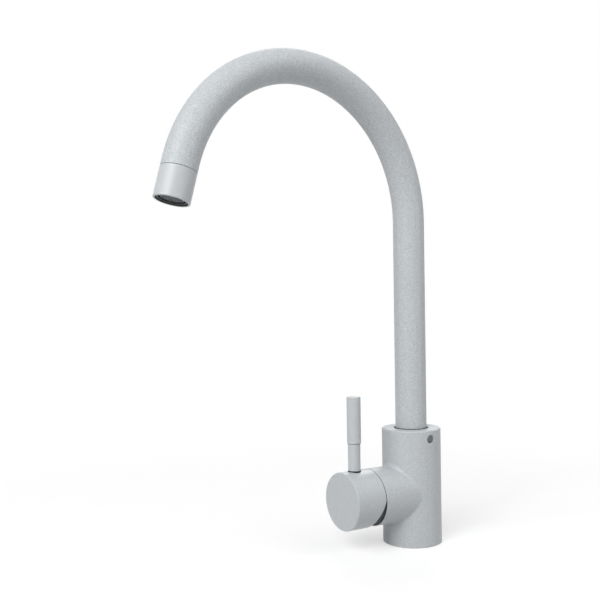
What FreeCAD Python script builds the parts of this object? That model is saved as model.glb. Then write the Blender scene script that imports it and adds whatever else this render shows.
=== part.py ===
import FreeCAD, Part
import math
import os

# A kitchen mixer tap: a swivel spout on a round body, and a lever knob on a side branch.
# All sizes are in millimetres. The origin is the centre of the base face, with +Z up.
# +X points along the side branch to the knob, and +Y to the screw that keeps the spout in.

os.makedirs("parts", exist_ok=True)

# Body
body_r = 25.0
body_height = 97.0
rim_round = 1.2            # top edge of the column
base_round = 0.6           # bottom edge of the column
bore_round = 0.5           # inner edge of the top, round the wiper
branch_r = 23.5
branch_z = 43.0            # height of the branch axis
branch_wall = 3.2          # round the nut's thread
branch_blend = 3.5         # where the branch grows out of the column
branch_round = 0.4         # front edge of the branch

# Clearances
running_gap = 0.05         # radial, between pieces that turn or slide in each other
joint_gap = 0.05           # radial, between pieces that are screwed, soldered or pushed together
end_gap = 0.3              # between moving faces that never touch
edge_match = 0.01          # how closely an edge is looked up by its size and place

# Spout pipe
pipe_r = 13.25
pipe_wall = 1.0
pipe_gap = 0.85            # open ring round the pipe, in the top of the body
pipe_end_depth = 2.5       # the pipe's foot lies this far below the top of the body
riser_length = 175.3       # straight part above the body
bend_r = 114.5             # to the pipe's centre line
bend_sweep = 164.65        # degrees
outlet_straight = 27.6     # straight end, with the sleeve
spout_rest = 5.9           # degrees from the branch, seen from above

# Swivel of the spout
top_bore_depth = 13.0
seal_bore_depth = 20.0
nipple_step = 1.35         # the nipple's shank is this much thinner than the pipe
shank_gap = 0.1            # between the shank and its bore
shank_wall = 3.4
shank_foot_gap = 2.0       # water space below the nipple
spigot_length = 13.5       # of the nipple, inside the pipe
washer_thick = 0.8
washer_rim = 0.2           # between the washer and the walls beside it
slide_ring_height = 1.6
slide_ring_depth = 0.8     # how far a slide ring sits in its groove
guide_ring_height = 3.0
o_ring_section = 0.95      # radius of the ring's cross-section
o_ring_low = 5.0           # of the lower sealing ring above the nipple's foot
o_ring_spacing = 8.0

# Lock screw of the spout
lock_drop = 7.3            # its axis below the top of the body
lock_screw_r = 3.0
lock_screw_length = 7.5
lock_dog_r = 1.5
lock_dog_depth = 2.0       # of the groove in the nipple
lock_hex = 1.5             # half the width of the key hole
lock_hex_depth = 2.5
plug_r = 3.5
plug_seat_depth = 3.0
plug_edge = 0.25           # rounding of the hole's mouth
plug_recess = 0.2          # of the middle of the plug's face
plug_dome = 0.5            # height of the face's bulge

# Wiper: a rubber ring that closes the gap between the pipe and the top of the body
wiper_width = 1.35         # of its seat, from the pipe's skin
wiper_depth = 1.5          # of its seat
wiper_rise = 0.3           # how far it stands above the body
wiper_round = 0.2

# Outlet
sleeve_length = 22.6
sleeve_wall = 1.5
sleeve_line = 0.2          # open line between the sleeve and the pipe
sleeve_edge = 0.25         # broken edge beside that line
sleeve_round = 0.4         # outer edge of the mouth
mouth_round = 0.25         # inner edge of the mouth
bush_length = 4.5
bush_wall = 1.15
spigot_wall = 1.4          # of the sleeve's threaded end
mouth_depth = 17.5         # of the wide bore for the aerator
aerator_seal_thick = 1.5
aerator_seal_width = 1.9
aerator_rim_drop = 0.9     # of the aerator's rim inside the mouth
aerator_groove = 0.85      # open ring round the aerator's rim
aerator_rim_height = 5.1
aerator_rim_wall = 1.0
aerator_cap_wall = 2.9
aerator_cap_height = 4.0
flow_disc_thick = 0.8
flow_hole_r = 0.6
flow_hole_rings = (3.0, 5.4, 7.6)
flow_hole_pitch = 2.4      # along each ring
grid_drop = 2.2            # of the grid inside the mouth
grid_thick = 3.0
grid_groove = 1.0          # open ring round the grid's face
grid_groove_depth = 2.0
grid_rim = 0.5
grid_hole_r = 0.6
grid_pitch = 1.5

# Cartridge: lengths run outwards along the branch, from the seat
cartridge_r = 17.5
seat_gap = 0.1
seat_wall = 1.75           # between the seat and the spout's bore
port_circle_r = 8.0
port_r = 2.5
seal_width = 1.4
seal_thick = 1.7
base_thick = 4.0
housing_wall = 1.6
fixed_disc_thick = 3.5
disc_film = 0.05           # water film between the two discs
moving_disc_r = 12.5
moving_disc_thick = 3.35
pocket_r = 6.8             # mixing pocket in the moving disc
pocket_drop = 1.0
pocket_depth = 1.8
pocket_slot = 2.6
pocket_reach = 9.4
carrier_thick = 4.8
lug_half = 2.5
lug_width = 2.4
lug_depth = 2.2
guide_flange_thick = 3.8
guide_flange_rim = 0.4     # between the guide's flange and the housing
guide_r = 12.5
roof_thick = 2.1
collar_wall = 1.92
collar_height = 6.0
nut_height = 5.5
nut_gap = 0.3              # between the nut and the cartridge's collar
nut_slot = 1.6
nut_slot_depth = 2.4

# Lever
lift_angle = 22.0          # degrees, from shut to fully open
pivot_height = 6.7         # of the pivot above the guide's flange
pivot_pin_r = 1.5
pin_inset = 0.6            # of the pin's ends inside the guide
guide_top_height = 4.0     # of the guide's top above the pivot
stem_half_y = 3.5
stem_half_z = 3.0
stem_square = 4.0          # half the side of the square end
ball_r = 2.5
ball_lift = 0.6            # of the ball above the moving disc
ball_neck_r = 1.9

# Dome cover and knob
dome_skirt = 3.86          # its thread, below the end of the branch
dome_skirt_wall = 1.25
dome_height = 1.8
dome_thick = 1.2
dome_gap = 0.45            # between the dome and the knob's hollow
dome_seat_depth = 0.8      # of the recess for the dome's flange, in the end of the branch
dome_seat_wall = 0.55      # round that recess
knob_r = 23.5
knob_wall = 1.5
knob_gap = 0.7             # between the knob and the branch
knob_length = 27.7
knob_round = 0.9           # front edge
knob_rear_round = 0.3
relief_start = 2.0         # the rear edge is cut back from here, above the axis
relief_lag = 2.0           # degrees: the cut is this much flatter than the lift
web_gap = 0.5
socket_depth = 9.5
pocket_rib = 7.0           # half the width of the rib that carries the lever
knob_pocket_depth = 12.0
knob_pocket_inner = 9.5
knob_pocket_wall = 3.5

# Lever rod
stud_r = 3.0
stud_length = 12.0
stud_wall = 2.75           # behind the stud, in the knob
rod_r = 5.1
rod_exposed = 22.8         # above the top of the knob
ring_r = 5.3
ring_thick = 1.0
spot_depth = 0.7           # of the flat spot under the ring
spot_gap = 0.2
grip_r = 5.75
grip_length = 38.2
grip_round = 0.8           # top edge
grip_foot_round = 0.3      # where the rod goes in
grip_core_r = 4.0
grip_core_length = 33.0
grub_r = 2.5
grub_length = 8.0
grub_hex = 1.25
grub_hex_depth = 2.5

# Underside
inlet_x = 4.0
inlet_r = 4.5
inlet_depth = 14.0
inlet_channel_r = 3.0
riser_channel_r = 3.5
channel_overrun = 0.3      # how far an upright channel runs past the level one that it meets
stud_hole_x = -12.0
stud_hole_r = 3.4
stud_hole_depth = 16.0
base_seal_inset = 1.8
base_seal_width = 2.5
base_seal_thick = 1.9

# Places that follow from the sizes: the spout's swivel
top_bore_r = pipe_r + pipe_gap
step_z = body_height - top_bore_depth
seal_bore_floor = step_z - seal_bore_depth
pipe_foot_z = body_height - pipe_end_depth
pipe_inner_r = pipe_r - pipe_wall
shank_r = pipe_r - nipple_step
seal_bore_r = shank_r + shank_gap
washer_floor = step_z + running_gap
collar_floor = washer_floor + washer_thick
shank_foot = seal_bore_floor + shank_foot_gap
nipple_bore_r = shank_r - shank_wall
lock_z = body_height - lock_drop
lock_groove_r = pipe_r - lock_dog_depth
lock_groove_half = lock_dog_r + end_gap
upper_ring_z = (lock_z + lock_groove_half + pipe_foot_z) / 2
wiper_seat_r = pipe_r + wiper_width
wiper_foot = body_height - wiper_depth

# Places along the branch
seat_x = seal_bore_r + seat_wall
seat_bore_r = cartridge_r + seat_gap
base_top = seat_x + base_thick
fixed_top = base_top + fixed_disc_thick
moving_floor = fixed_top + disc_film
moving_top = moving_floor + moving_disc_thick
carrier_top = moving_top + carrier_thick
guide_floor = carrier_top + end_gap
flange_top = guide_floor + guide_flange_thick
roof_floor = flange_top + disc_film
shoulder_x = roof_floor + roof_thick
nut_top = shoulder_x + nut_height
branch_reach = nut_top + end_gap + dome_skirt
dome_seat_r = branch_r - dome_seat_wall
dome_seat_x = branch_reach - dome_seat_depth
nut_bore_r = branch_r - branch_wall
nut_bore_floor = shoulder_x - end_gap
housing_inner_r = cartridge_r - housing_wall
pivot_x = flange_top + pivot_height
guide_top = pivot_x + guide_top_height
ball_x = moving_top + ball_lift + ball_r
lift = math.radians(lift_angle)
disc_travel = (pivot_x - ball_x) * lift
port_angles = {"hot": 30.0, "cold": 150.0, "outlet": 270.0}

# Places of the knob and lever
knob_rear = branch_reach + knob_gap
knob_front = knob_rear + knob_length
knob_inner_r = knob_r - knob_wall
dome_r = math.hypot(knob_rear - pivot_x, knob_inner_r) - dome_gap
dome_face = branch_reach + dome_height
dome_corner = math.sqrt(dome_r**2 - (dome_face - pivot_x) ** 2)
dome_swing = (dome_face - pivot_x) * math.cos(lift) + dome_corner * math.sin(lift)
web_x = pivot_x + dome_swing + web_gap
lever_x = web_x + stud_wall + stud_r
socket_end = web_x + socket_depth
spot_z = branch_z + knob_r - spot_depth
rod_foot = spot_z + ring_thick
rod_shoulder = branch_z + knob_r + rod_exposed

# Place of the outlet: lengths run up the pipe from the mouth
sleeve_top = sleeve_length
pipe_end = sleeve_length + sleeve_line
mouth_r = pipe_r - sleeve_wall
bush_inner_r = pipe_inner_r - joint_gap - bush_wall
spigot_r = bush_inner_r - joint_gap
spigot_bore_r = spigot_r - spigot_wall
aerator_r = mouth_r - joint_gap
aerator_rim_r = mouth_r - aerator_groove
aerator_bore_r = aerator_rim_r - aerator_rim_wall
aerator_top = mouth_depth - aerator_seal_thick
grid_r = aerator_bore_r - joint_gap

Vector = FreeCAD.Vector
X_AXIS = Vector(1, 0, 0)
Y_AXIS = Vector(0, 1, 0)
Z_AXIS = Vector(0, 0, 1)
CENTRE = Vector(0, 0, 0)


def upright(radius, low, high, x=0.0, y=0.0):
    """A cylinder along Z."""
    return Part.makeCylinder(radius, high - low, Vector(x, y, low), Z_AXIS)


def upright_ring(outer, inner, low, high):
    """A tube along the column's axis."""
    return upright(outer, low, high).cut(upright(inner, low, high))


def level(radius, start, end, y=0.0, z=0.0):
    """A cylinder along X, placed from the branch's axis."""
    return Part.makeCylinder(radius, end - start, Vector(start, y, branch_z + z), X_AXIS)


def level_ring(outer, inner, start, end, y=0.0, z=0.0):
    """A tube along X, placed from the branch's axis."""
    return level(outer, start, end, y, z).cut(level(inner, start, end, y, z))


def block(x_range, half_y, z_range):
    """A box across the branch's axis, with its heights measured from that axis."""
    corner = Vector(x_range[0], -half_y, branch_z + z_range[0])
    return Part.makeBox(x_range[1] - x_range[0], 2 * half_y, z_range[1] - z_range[0], corner)


def hexagon(half_width, length, start, direction):
    """A six-sided bar, for a key hole."""
    corners = []
    for side in range(7):
        turn = math.radians(60 * side)
        corner_r = half_width / math.cos(math.radians(30))
        corners.append(Vector(corner_r * math.cos(turn), corner_r * math.sin(turn), 0))
    bar = Part.Face(Part.makePolygon(corners)).extrude(Vector(0, 0, length))
    bar.Placement = FreeCAD.Placement(start, FreeCAD.Rotation(Z_AXIS, direction))
    return bar


def round_circle(shape, fillet, radius, centre):
    """Round the circular edges of one radius that lie round one point."""
    edges = []
    for edge in shape.Edges:
        curve = edge.Curve
        if not isinstance(curve, Part.Circle):
            continue
        off_size = abs(curve.Radius - radius)
        off_place = curve.Center.distanceToPoint(centre)
        if off_size < edge_match and off_place < edge_match:
            edges.append(edge)
    return shape.makeFillet(fillet, edges)


def round_where(shape, fillet, wanted):
    """Round the edges that a test picks."""
    return shape.makeFillet(fillet, [edge for edge in shape.Edges if wanted(edge)])


def port_place(name):
    """Y and Z of a port, from the branch's axis."""
    angle = math.radians(port_angles[name])
    return port_circle_r * math.cos(angle), port_circle_r * math.sin(angle)


def turned(shape):
    """Swing a spout piece from the branch's direction to where the spout rests."""
    shape.rotate(CENTRE, Z_AXIS, spout_rest)
    return shape


def at_outlet(shape):
    """Move a piece, built upwards from the mouth, to the end of the spout."""
    sweep = math.radians(bend_sweep)
    arc_z = body_height + riser_length
    mouth_x = bend_r - bend_r * math.cos(sweep) + outlet_straight * math.sin(sweep)
    mouth_z = arc_z + bend_r * math.sin(sweep) + outlet_straight * math.cos(sweep)
    shape.rotate(CENTRE, Y_AXIS, bend_sweep - 180)
    shape.translate(Vector(mouth_x, 0, mouth_z))
    return turned(shape)


def save(node, shape):
    shape.exportStep(f"parts/{node}.step")
    print(node, len(shape.Solids), "solid, mm3:", round(shape.Volume, 1))


# Body: the casting, with the swivel's bores, the cartridge's seat and the water channels

def make_body():
    column = upright(body_r, 0, body_height)
    casting = column.fuse(level(branch_r, 0, branch_reach))
    crossing = [edge for edge in casting.Edges if isinstance(edge.Curve, Part.BSplineCurve)]
    casting = casting.makeFillet(branch_blend, crossing)
    casting = round_circle(casting, rim_round, body_r, Vector(0, 0, body_height))
    casting = round_circle(casting, base_round, body_r, CENTRE)
    casting = round_circle(casting, branch_round, branch_r, Vector(branch_reach, 0, branch_z))
    cuts = [
        upright(top_bore_r, step_z, body_height),
        upright(wiper_seat_r, wiper_foot, body_height),
        upright(seal_bore_r, seal_bore_floor, step_z),
        level(seat_bore_r, seat_x, nut_bore_floor),
        level(nut_bore_r, nut_bore_floor, branch_reach),
        level(dome_seat_r, dome_seat_x, branch_reach),
        upright(stud_hole_r, 0, stud_hole_depth, x=stud_hole_x),
    ]
    for name in ("hot", "cold"):
        y, z = port_place(name)
        cuts.append(upright(inlet_r, 0, inlet_depth, inlet_x, y))
        channel_top = branch_z + z + port_r + channel_overrun
        cuts.append(upright(inlet_channel_r, inlet_depth, channel_top, inlet_x, y))
        cuts.append(level(port_r, inlet_x, seat_x, y, z))
    y, z = port_place("outlet")
    cuts.append(level(port_r, 0, seat_x, y, z))
    channel_floor = branch_z + z - port_r - channel_overrun
    cuts.append(upright(riser_channel_r, channel_floor, seal_bore_floor))
    seal_outer = body_r - base_seal_inset
    seal_inner = seal_outer - base_seal_width
    cuts.append(upright_ring(seal_outer, seal_inner, 0, base_seal_thick))
    screw_start = Vector(0, 0, lock_z)
    cuts.append(Part.makeCylinder(lock_screw_r + joint_gap, body_r, screw_start, Y_AXIS))
    plug_start = Vector(0, body_r - plug_seat_depth, lock_z)
    cuts.append(Part.makeCylinder(plug_r, plug_seat_depth, plug_start, Y_AXIS))
    casting = casting.cut(cuts)
    casting = round_circle(casting, bore_round, wiper_seat_r, Vector(0, 0, body_height))
    return round_where(casting, plug_edge, at_plug_mouth)


def at_plug_mouth(edge):
    """Whether an edge is the outer one of the hole for the plug, where two round faces cross."""
    return isinstance(edge.Curve, Part.BSplineCurve) and edge.BoundBox.YMin > body_r - plug_seat_depth


def make_base_seal():
    outer = body_r - base_seal_inset - joint_gap
    inner = body_r - base_seal_inset - base_seal_width + joint_gap
    return upright_ring(outer, inner, 0, base_seal_thick)


def make_foot_wiper():
    top = body_height + wiper_rise
    outer = wiper_seat_r - joint_gap
    wiper = round_circle(upright(outer, wiper_foot, top), wiper_round, outer, Vector(0, 0, top))
    return wiper.cut(upright(pipe_r + running_gap, wiper_foot, top))


save("body", make_body())
save("base_seal", make_base_seal())
save("foot_wiper", make_foot_wiper())


# Spout: pipe, nipple, slide rings and seals of the swivel

def make_spout_tube():
    arc_z = body_height + riser_length
    riser = upright_ring(pipe_r, pipe_inner_r, pipe_foot_z, arc_z)
    outer = Part.Wire(Part.makeCircle(pipe_r, Vector(0, 0, arc_z)))
    inner = Part.Wire(Part.makeCircle(pipe_inner_r, Vector(0, 0, arc_z)))
    bend = Part.Face([outer, inner]).revolve(Vector(bend_r, 0, arc_z), Y_AXIS, bend_sweep)
    end = upright_ring(pipe_r, pipe_inner_r, pipe_end, outlet_straight)
    edge = Part.makeCone(pipe_r - sleeve_edge, pipe_r, sleeve_edge, Vector(0, 0, pipe_end))
    edge = upright(pipe_r, pipe_end, pipe_end + sleeve_edge).cut(edge)
    return turned(riser.fuse(bend)).fuse(at_outlet(end.cut(edge)))


def make_spout_nipple():
    nipple = upright(pipe_r, collar_floor, pipe_foot_z)
    nipple = nipple.fuse(upright(shank_r, shank_foot, collar_floor))
    nipple = nipple.fuse(upright(pipe_inner_r - joint_gap, pipe_foot_z, pipe_foot_z + spigot_length))
    nipple = nipple.cut(upright(nipple_bore_r, shank_foot, pipe_foot_z + spigot_length))
    lock_low = lock_z - lock_groove_half
    lock_high = lock_z + lock_groove_half
    nipple = nipple.cut(upright_ring(pipe_r, lock_groove_r, lock_low, lock_high))
    half = slide_ring_height / 2 + joint_gap
    groove_r = pipe_r - slide_ring_depth
    nipple = nipple.cut(upright_ring(pipe_r, groove_r, upper_ring_z - half, upper_ring_z + half))
    half = guide_ring_height / 2 + joint_gap
    middle = guide_ring_z()
    nipple = nipple.cut(upright_ring(shank_r, guide_groove_r(), middle - half, middle + half))
    half = o_ring_section + joint_gap
    groove_r = o_ring_centre_r() - half
    for z in o_ring_heights():
        nipple = nipple.cut(upright_ring(shank_r, groove_r, z - half, z + half))
    return turned(nipple)


def o_ring_heights():
    low = shank_foot + o_ring_low
    return low, low + o_ring_spacing


def o_ring_centre_r():
    return seal_bore_r - running_gap - o_ring_section


def guide_ring_z():
    return sum(o_ring_heights()) / 2


def guide_groove_r():
    return shank_r - slide_ring_depth


def make_o_rings():
    rings = [Part.makeTorus(o_ring_centre_r(), o_ring_section, Vector(0, 0, z)) for z in o_ring_heights()]
    return turned(Part.makeCompound(rings))


def make_upper_slide_ring():
    half = slide_ring_height / 2
    inner = pipe_r - slide_ring_depth + joint_gap
    return turned(upright_ring(top_bore_r - running_gap, inner, upper_ring_z - half, upper_ring_z + half))


def make_lower_slide_ring():
    half = guide_ring_height / 2
    middle = guide_ring_z()
    inner = guide_groove_r() + joint_gap
    return turned(upright_ring(seal_bore_r - running_gap, inner, middle - half, middle + half))


def make_slide_washer():
    outer = top_bore_r - washer_rim
    inner = seal_bore_r + washer_rim
    return turned(upright_ring(outer, inner, washer_floor, collar_floor))


save("spout_tube", make_spout_tube())
save("spout_nipple", make_spout_nipple())
save("nipple_o_rings", make_o_rings())
save("slide_ring_upper", make_upper_slide_ring())
save("slide_ring_lower", make_lower_slide_ring())
save("slide_washer", make_slide_washer())


# Lock screw: a headless screw whose point runs in the nipple's groove, and the plug over it

def make_lock_screw():
    point_y = lock_groove_r + end_gap
    thread_y = top_bore_r + end_gap
    end_y = thread_y + lock_screw_length
    point = Part.makeCylinder(lock_dog_r, thread_y - point_y, Vector(0, point_y, lock_z), Y_AXIS)
    thread = Part.makeCylinder(lock_screw_r, lock_screw_length, Vector(0, thread_y, lock_z), Y_AXIS)
    key = hexagon(lock_hex, lock_hex_depth, Vector(0, end_y - lock_hex_depth, lock_z), Y_AXIS)
    return point.fuse(thread).cut(key)


def make_plug():
    seat_y = body_r - plug_seat_depth
    length = plug_seat_depth - plug_recess
    radius = plug_r - joint_gap
    plug = Part.makeCylinder(radius, length, Vector(0, seat_y, lock_z), Y_AXIS)
    ball_r = (radius**2 + plug_dome**2) / (2 * plug_dome)
    return plug.common(Part.makeSphere(ball_r, Vector(0, seat_y + length - ball_r, lock_z)))


save("spout_lock_screw", make_lock_screw())
save("lock_screw_plug", make_plug())


# Outlet: threaded bush, sleeve and aerator, each built upwards from the mouth

def make_outlet_bush():
    outer = pipe_inner_r - joint_gap
    return at_outlet(upright_ring(outer, bush_inner_r, pipe_end, pipe_end + bush_length))


def make_sleeve():
    sleeve = upright(pipe_r, 0, sleeve_top)
    edge = Part.makeCone(pipe_r, pipe_r - sleeve_edge, sleeve_edge, Vector(0, 0, sleeve_top - sleeve_edge))
    sleeve = sleeve.cut(upright(pipe_r, sleeve_top - sleeve_edge, sleeve_top).cut(edge))
    sleeve = round_circle(sleeve, sleeve_round, pipe_r, CENTRE)
    sleeve = sleeve.fuse(upright(spigot_r, sleeve_top, pipe_end + bush_length))
    sleeve = sleeve.cut(upright(mouth_r, 0, mouth_depth))
    sleeve = round_circle(sleeve, mouth_round, mouth_r, CENTRE)
    return at_outlet(sleeve.cut(upright(spigot_bore_r, mouth_depth, pipe_end + bush_length)))


def make_aerator_seal():
    inner = aerator_r - aerator_seal_width
    return at_outlet(upright_ring(aerator_r, inner, aerator_top, mouth_depth))


def make_aerator_housing():
    shoulder = aerator_rim_drop + aerator_rim_height
    housing = upright(aerator_r, shoulder, aerator_top)
    housing = housing.fuse(upright(aerator_rim_r, aerator_rim_drop, shoulder))
    cap_floor = aerator_top - aerator_cap_height
    housing = housing.cut(upright(aerator_bore_r, aerator_rim_drop, cap_floor))
    return at_outlet(housing.cut(upright(aerator_r - aerator_cap_wall, cap_floor, aerator_top)))


def make_flow_disc():
    top = aerator_top - aerator_cap_height
    disc = upright(grid_r, top - flow_disc_thick, top)
    holes = [upright(flow_hole_r, top - flow_disc_thick, top)]
    for ring_r in flow_hole_rings:
        count = int(2 * math.pi * ring_r / flow_hole_pitch)
        for step in range(count):
            turn = 2 * math.pi * step / count
            x = ring_r * math.cos(turn)
            y = ring_r * math.sin(turn)
            holes.append(upright(flow_hole_r, top - flow_disc_thick, top, x, y))
    return at_outlet(disc.cut(Part.makeCompound(holes)))


def make_outlet_grid():
    top = grid_drop + grid_thick
    face_r = grid_r - grid_groove
    flange = grid_drop + grid_groove_depth
    grid = upright(face_r, grid_drop, flange).fuse(upright(grid_r, flange, top))
    row_step = grid_pitch * math.sqrt(3) / 2
    reach = face_r - grid_rim - grid_hole_r
    rows = int(reach / row_step)
    columns = int(reach / grid_pitch) + 1
    holes = []
    for row in range(-rows, rows + 1):
        for column in range(-columns, columns + 1):
            x = grid_pitch * (column + 0.5 * (row % 2))
            y = row_step * row
            if math.hypot(x, y) <= reach:
                holes.append(upright(grid_hole_r, grid_drop, top, x, y))
    return at_outlet(grid.cut(Part.makeCompound(holes)))


save("outlet_bush", make_outlet_bush())
save("aerator_sleeve", make_sleeve())
save("aerator_seal", make_aerator_seal())
save("aerator_housing", make_aerator_housing())
save("aerator_flow_disc", make_flow_disc())
save("aerator_outlet_grid", make_outlet_grid())


# Cartridge: base with three ports, two ceramic discs, carrier, guide and housing

def port_holes(start, end, radius):
    return Part.makeCompound([level(radius, start, end, *port_place(name)) for name in port_angles])


def make_cartridge_base():
    base = level(cartridge_r, seat_x, base_top)
    base = base.cut(port_holes(seat_x, base_top, port_r))
    return base.cut(port_holes(seat_x, seat_x + seal_thick, port_r + seal_width + joint_gap))


def make_port_seals():
    rings = []
    for name in port_angles:
        y, z = port_place(name)
        rings.append(level_ring(port_r + seal_width, port_r, seat_x, seat_x + seal_thick, y, z))
    return Part.makeCompound(rings)


def make_fixed_disc():
    disc = level(housing_inner_r - joint_gap, base_top, fixed_top)
    return disc.cut(port_holes(base_top, fixed_top, port_r))


def make_moving_disc():
    middle = -disc_travel / 2
    disc = level(moving_disc_r, moving_floor, moving_top, z=middle)
    pocket_end = moving_floor + pocket_depth
    disc = disc.cut(level(pocket_r, moving_floor, pocket_end, z=middle - pocket_drop))
    slot = block((moving_floor, pocket_end), pocket_slot, (middle - pocket_reach, middle - pocket_drop))
    disc = disc.cut(slot)
    return disc.cut(carrier_lugs(moving_top - lug_depth - joint_gap, lug_half + joint_gap))


def carrier_lugs(start, half_height):
    """The two lugs, at the disc's sides, that turn and push it."""
    middle = -disc_travel / 2
    across = block((start, moving_top), moving_disc_r, (middle - half_height, middle + half_height))
    clear = half_height - lug_half
    inner = block((start, moving_top), moving_disc_r - lug_width - clear, (-cartridge_r, cartridge_r))
    return across.cut(inner)


def make_disc_carrier():
    middle = -disc_travel / 2
    carrier = level(moving_disc_r, moving_top, carrier_top, z=middle)
    lugs = carrier_lugs(moving_top - lug_depth, lug_half)
    carrier = carrier.fuse(lugs.common(level(moving_disc_r, seat_x, carrier_top, z=middle)))
    half_slot = ball_r + end_gap
    return carrier.cut(block((moving_top, carrier_top), ball_r + running_gap, (-half_slot, half_slot)))


def make_lever_guide():
    guide = level(housing_inner_r - guide_flange_rim, guide_floor, flange_top)
    guide = guide.fuse(level(guide_r, flange_top, guide_top))
    half_width = stem_half_z / math.cos(lift) + end_gap
    swing_down = guide_top_height * math.tan(lift) + half_width
    swing_up = (pivot_x - guide_floor) * math.tan(lift) + half_width
    guide = guide.cut(block((guide_floor, guide_top), stem_half_y + running_gap, (-swing_down, swing_up)))
    return guide.cut(pivot_bar(pivot_pin_r + joint_gap / 2, guide_r))


def pivot_bar(radius, half_length):
    return Part.makeCylinder(radius, 2 * half_length, Vector(pivot_x, -half_length, branch_z), Y_AXIS)


def make_stem():
    square_start = pivot_x + (guide_top_height + end_gap + stem_square * math.sin(lift)) / math.cos(lift)
    blade_foot = pivot_x - (pivot_x - guide_floor - end_gap - stem_half_z * math.sin(lift)) / math.cos(lift)
    stem = block((blade_foot, square_start), stem_half_y, (-stem_half_z, stem_half_z))
    tip = socket_end - end_gap
    stem = stem.fuse(block((square_start, tip), stem_square, (-stem_square, stem_square)))
    stem = stem.fuse(level(ball_neck_r, ball_x, blade_foot))
    stem = stem.fuse(Part.makeSphere(ball_r, Vector(ball_x, 0, branch_z)))
    return stem.cut(pivot_bar(pivot_pin_r + running_gap, stem_square))


def make_cartridge_housing():
    housing = level_ring(cartridge_r, housing_inner_r, base_top, roof_floor)
    hole_r = guide_r + running_gap
    housing = housing.fuse(level_ring(cartridge_r, hole_r, roof_floor, shoulder_x))
    collar_top = shoulder_x + collar_height
    return housing.fuse(level_ring(hole_r + collar_wall, hole_r, shoulder_x, collar_top))


def make_cartridge_nut():
    inner = guide_r + running_gap + collar_wall + nut_gap
    nut = level_ring(nut_bore_r - joint_gap, inner, shoulder_x, nut_top)
    slot = block((nut_top - nut_slot_depth, nut_top), nut_bore_r, (-nut_slot, nut_slot))
    for turn in (0, 90):
        nut = nut.cut(slot)
        slot.rotate(Vector(0, 0, branch_z), X_AXIS, 90)
    return nut


save("cartridge_base", make_cartridge_base())
save("cartridge_port_seals", make_port_seals())
save("fixed_disc", make_fixed_disc())
save("moving_disc", make_moving_disc())
save("disc_carrier", make_disc_carrier())
save("lever_guide", make_lever_guide())
save("pivot_pin", pivot_bar(pivot_pin_r, guide_r - pin_inset))
save("stem", make_stem())
save("cartridge_housing", make_cartridge_housing())
save("cartridge_nut", make_cartridge_nut())


# Knob: a round handle whose skirt swings round the dome cover, which is part of a sphere

def make_dome_cover():
    ball = Part.makeSphere(dome_r, Vector(pivot_x, 0, branch_z))
    cover = ball.common(level(dome_r, branch_reach, dome_face))
    skirt_r = nut_bore_r - joint_gap
    cover = cover.fuse(level(skirt_r, branch_reach - dome_skirt, branch_reach))
    cover = cover.fuse(level(dome_seat_r - joint_gap, dome_seat_x, branch_reach))
    hollow_end = dome_face - dome_thick
    cover = cover.cut(level(skirt_r - dome_skirt_wall, branch_reach - dome_skirt, hollow_end))
    corner = stem_square * math.sqrt(2) / math.cos(lift)
    hole_r = (dome_face - pivot_x) * math.tan(lift) + corner + end_gap
    return cover.cut(level(hole_r, hollow_end, dome_face))


def make_knob():
    knob = level(knob_r, knob_rear, knob_front)
    knob = round_circle(knob, knob_round, knob_r, Vector(knob_front, 0, branch_z))
    knob = knob.cut(level(knob_inner_r, knob_rear, web_x))
    pocket_end = web_x + knob_pocket_depth
    pocket = level_ring(knob_r - knob_pocket_wall, knob_pocket_inner, web_x, pocket_end)
    knob = knob.cut(pocket.cut(block((web_x, pocket_end), pocket_rib, (-knob_r, knob_r))))
    half_socket = stem_square + joint_gap
    knob = knob.cut(block((web_x, socket_end), half_socket, (-half_socket, half_socket)))
    knob = round_where(knob.cut(rear_relief()), knob_rear_round, at_knob_rear)
    top = branch_z + knob_r
    knob = knob.cut(upright(ring_r + spot_gap, spot_z, top, lever_x))
    knob = knob.cut(upright(stud_r + joint_gap, rod_foot - stud_length, top, lever_x))
    return knob.cut(upright(grub_r + joint_gap, branch_z - knob_r, branch_z - stem_square, lever_x))


def at_knob_rear(edge):
    """Whether an edge runs round the rear of the knob's outer skin."""
    middle = edge.valueAt((edge.FirstParameter + edge.LastParameter) / 2)
    off_skin = abs(math.hypot(middle.y, middle.z - branch_z) - knob_r)
    curved = isinstance(edge.Curve, (Part.Circle, Part.Ellipse))
    return curved and off_skin < edge_match and middle.x < web_x


def rear_relief():
    """The wedge that is cut from the lower half of the rear edge, so that the knob can tilt."""
    depth = knob_r + relief_start
    slope = math.tan(math.radians(lift_angle - relief_lag))
    corners = [
        Vector(knob_rear, -knob_r, branch_z + relief_start),
        Vector(knob_rear + depth * slope, -knob_r, branch_z - knob_r),
        Vector(knob_rear, -knob_r, branch_z - knob_r),
    ]
    outline = Part.makePolygon(corners + corners[:1])
    return Part.Face(outline).extrude(Vector(0, 2 * knob_r, 0))


def make_lever_rod():
    rod = upright(stud_r, rod_foot - stud_length, rod_foot, lever_x)
    rod = rod.fuse(upright(rod_r, rod_foot, rod_shoulder, lever_x))
    return rod.fuse(upright(grip_core_r, rod_shoulder, rod_shoulder + grip_core_length, lever_x))


def make_lever_grip():
    top = rod_shoulder + grip_length
    grip = upright(grip_r, rod_shoulder, top, lever_x)
    grip = round_circle(grip, grip_round, grip_r, Vector(lever_x, 0, top))
    grip = round_circle(grip, grip_foot_round, grip_r, Vector(lever_x, 0, rod_shoulder))
    bore_end = rod_shoulder + grip_core_length + end_gap
    return grip.cut(upright(grip_core_r + joint_gap, rod_shoulder, bore_end, lever_x))


def make_base_ring():
    ring = upright(ring_r, spot_z, rod_foot, lever_x)
    return ring.cut(upright(stud_r + joint_gap, spot_z, rod_foot, lever_x))


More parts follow.
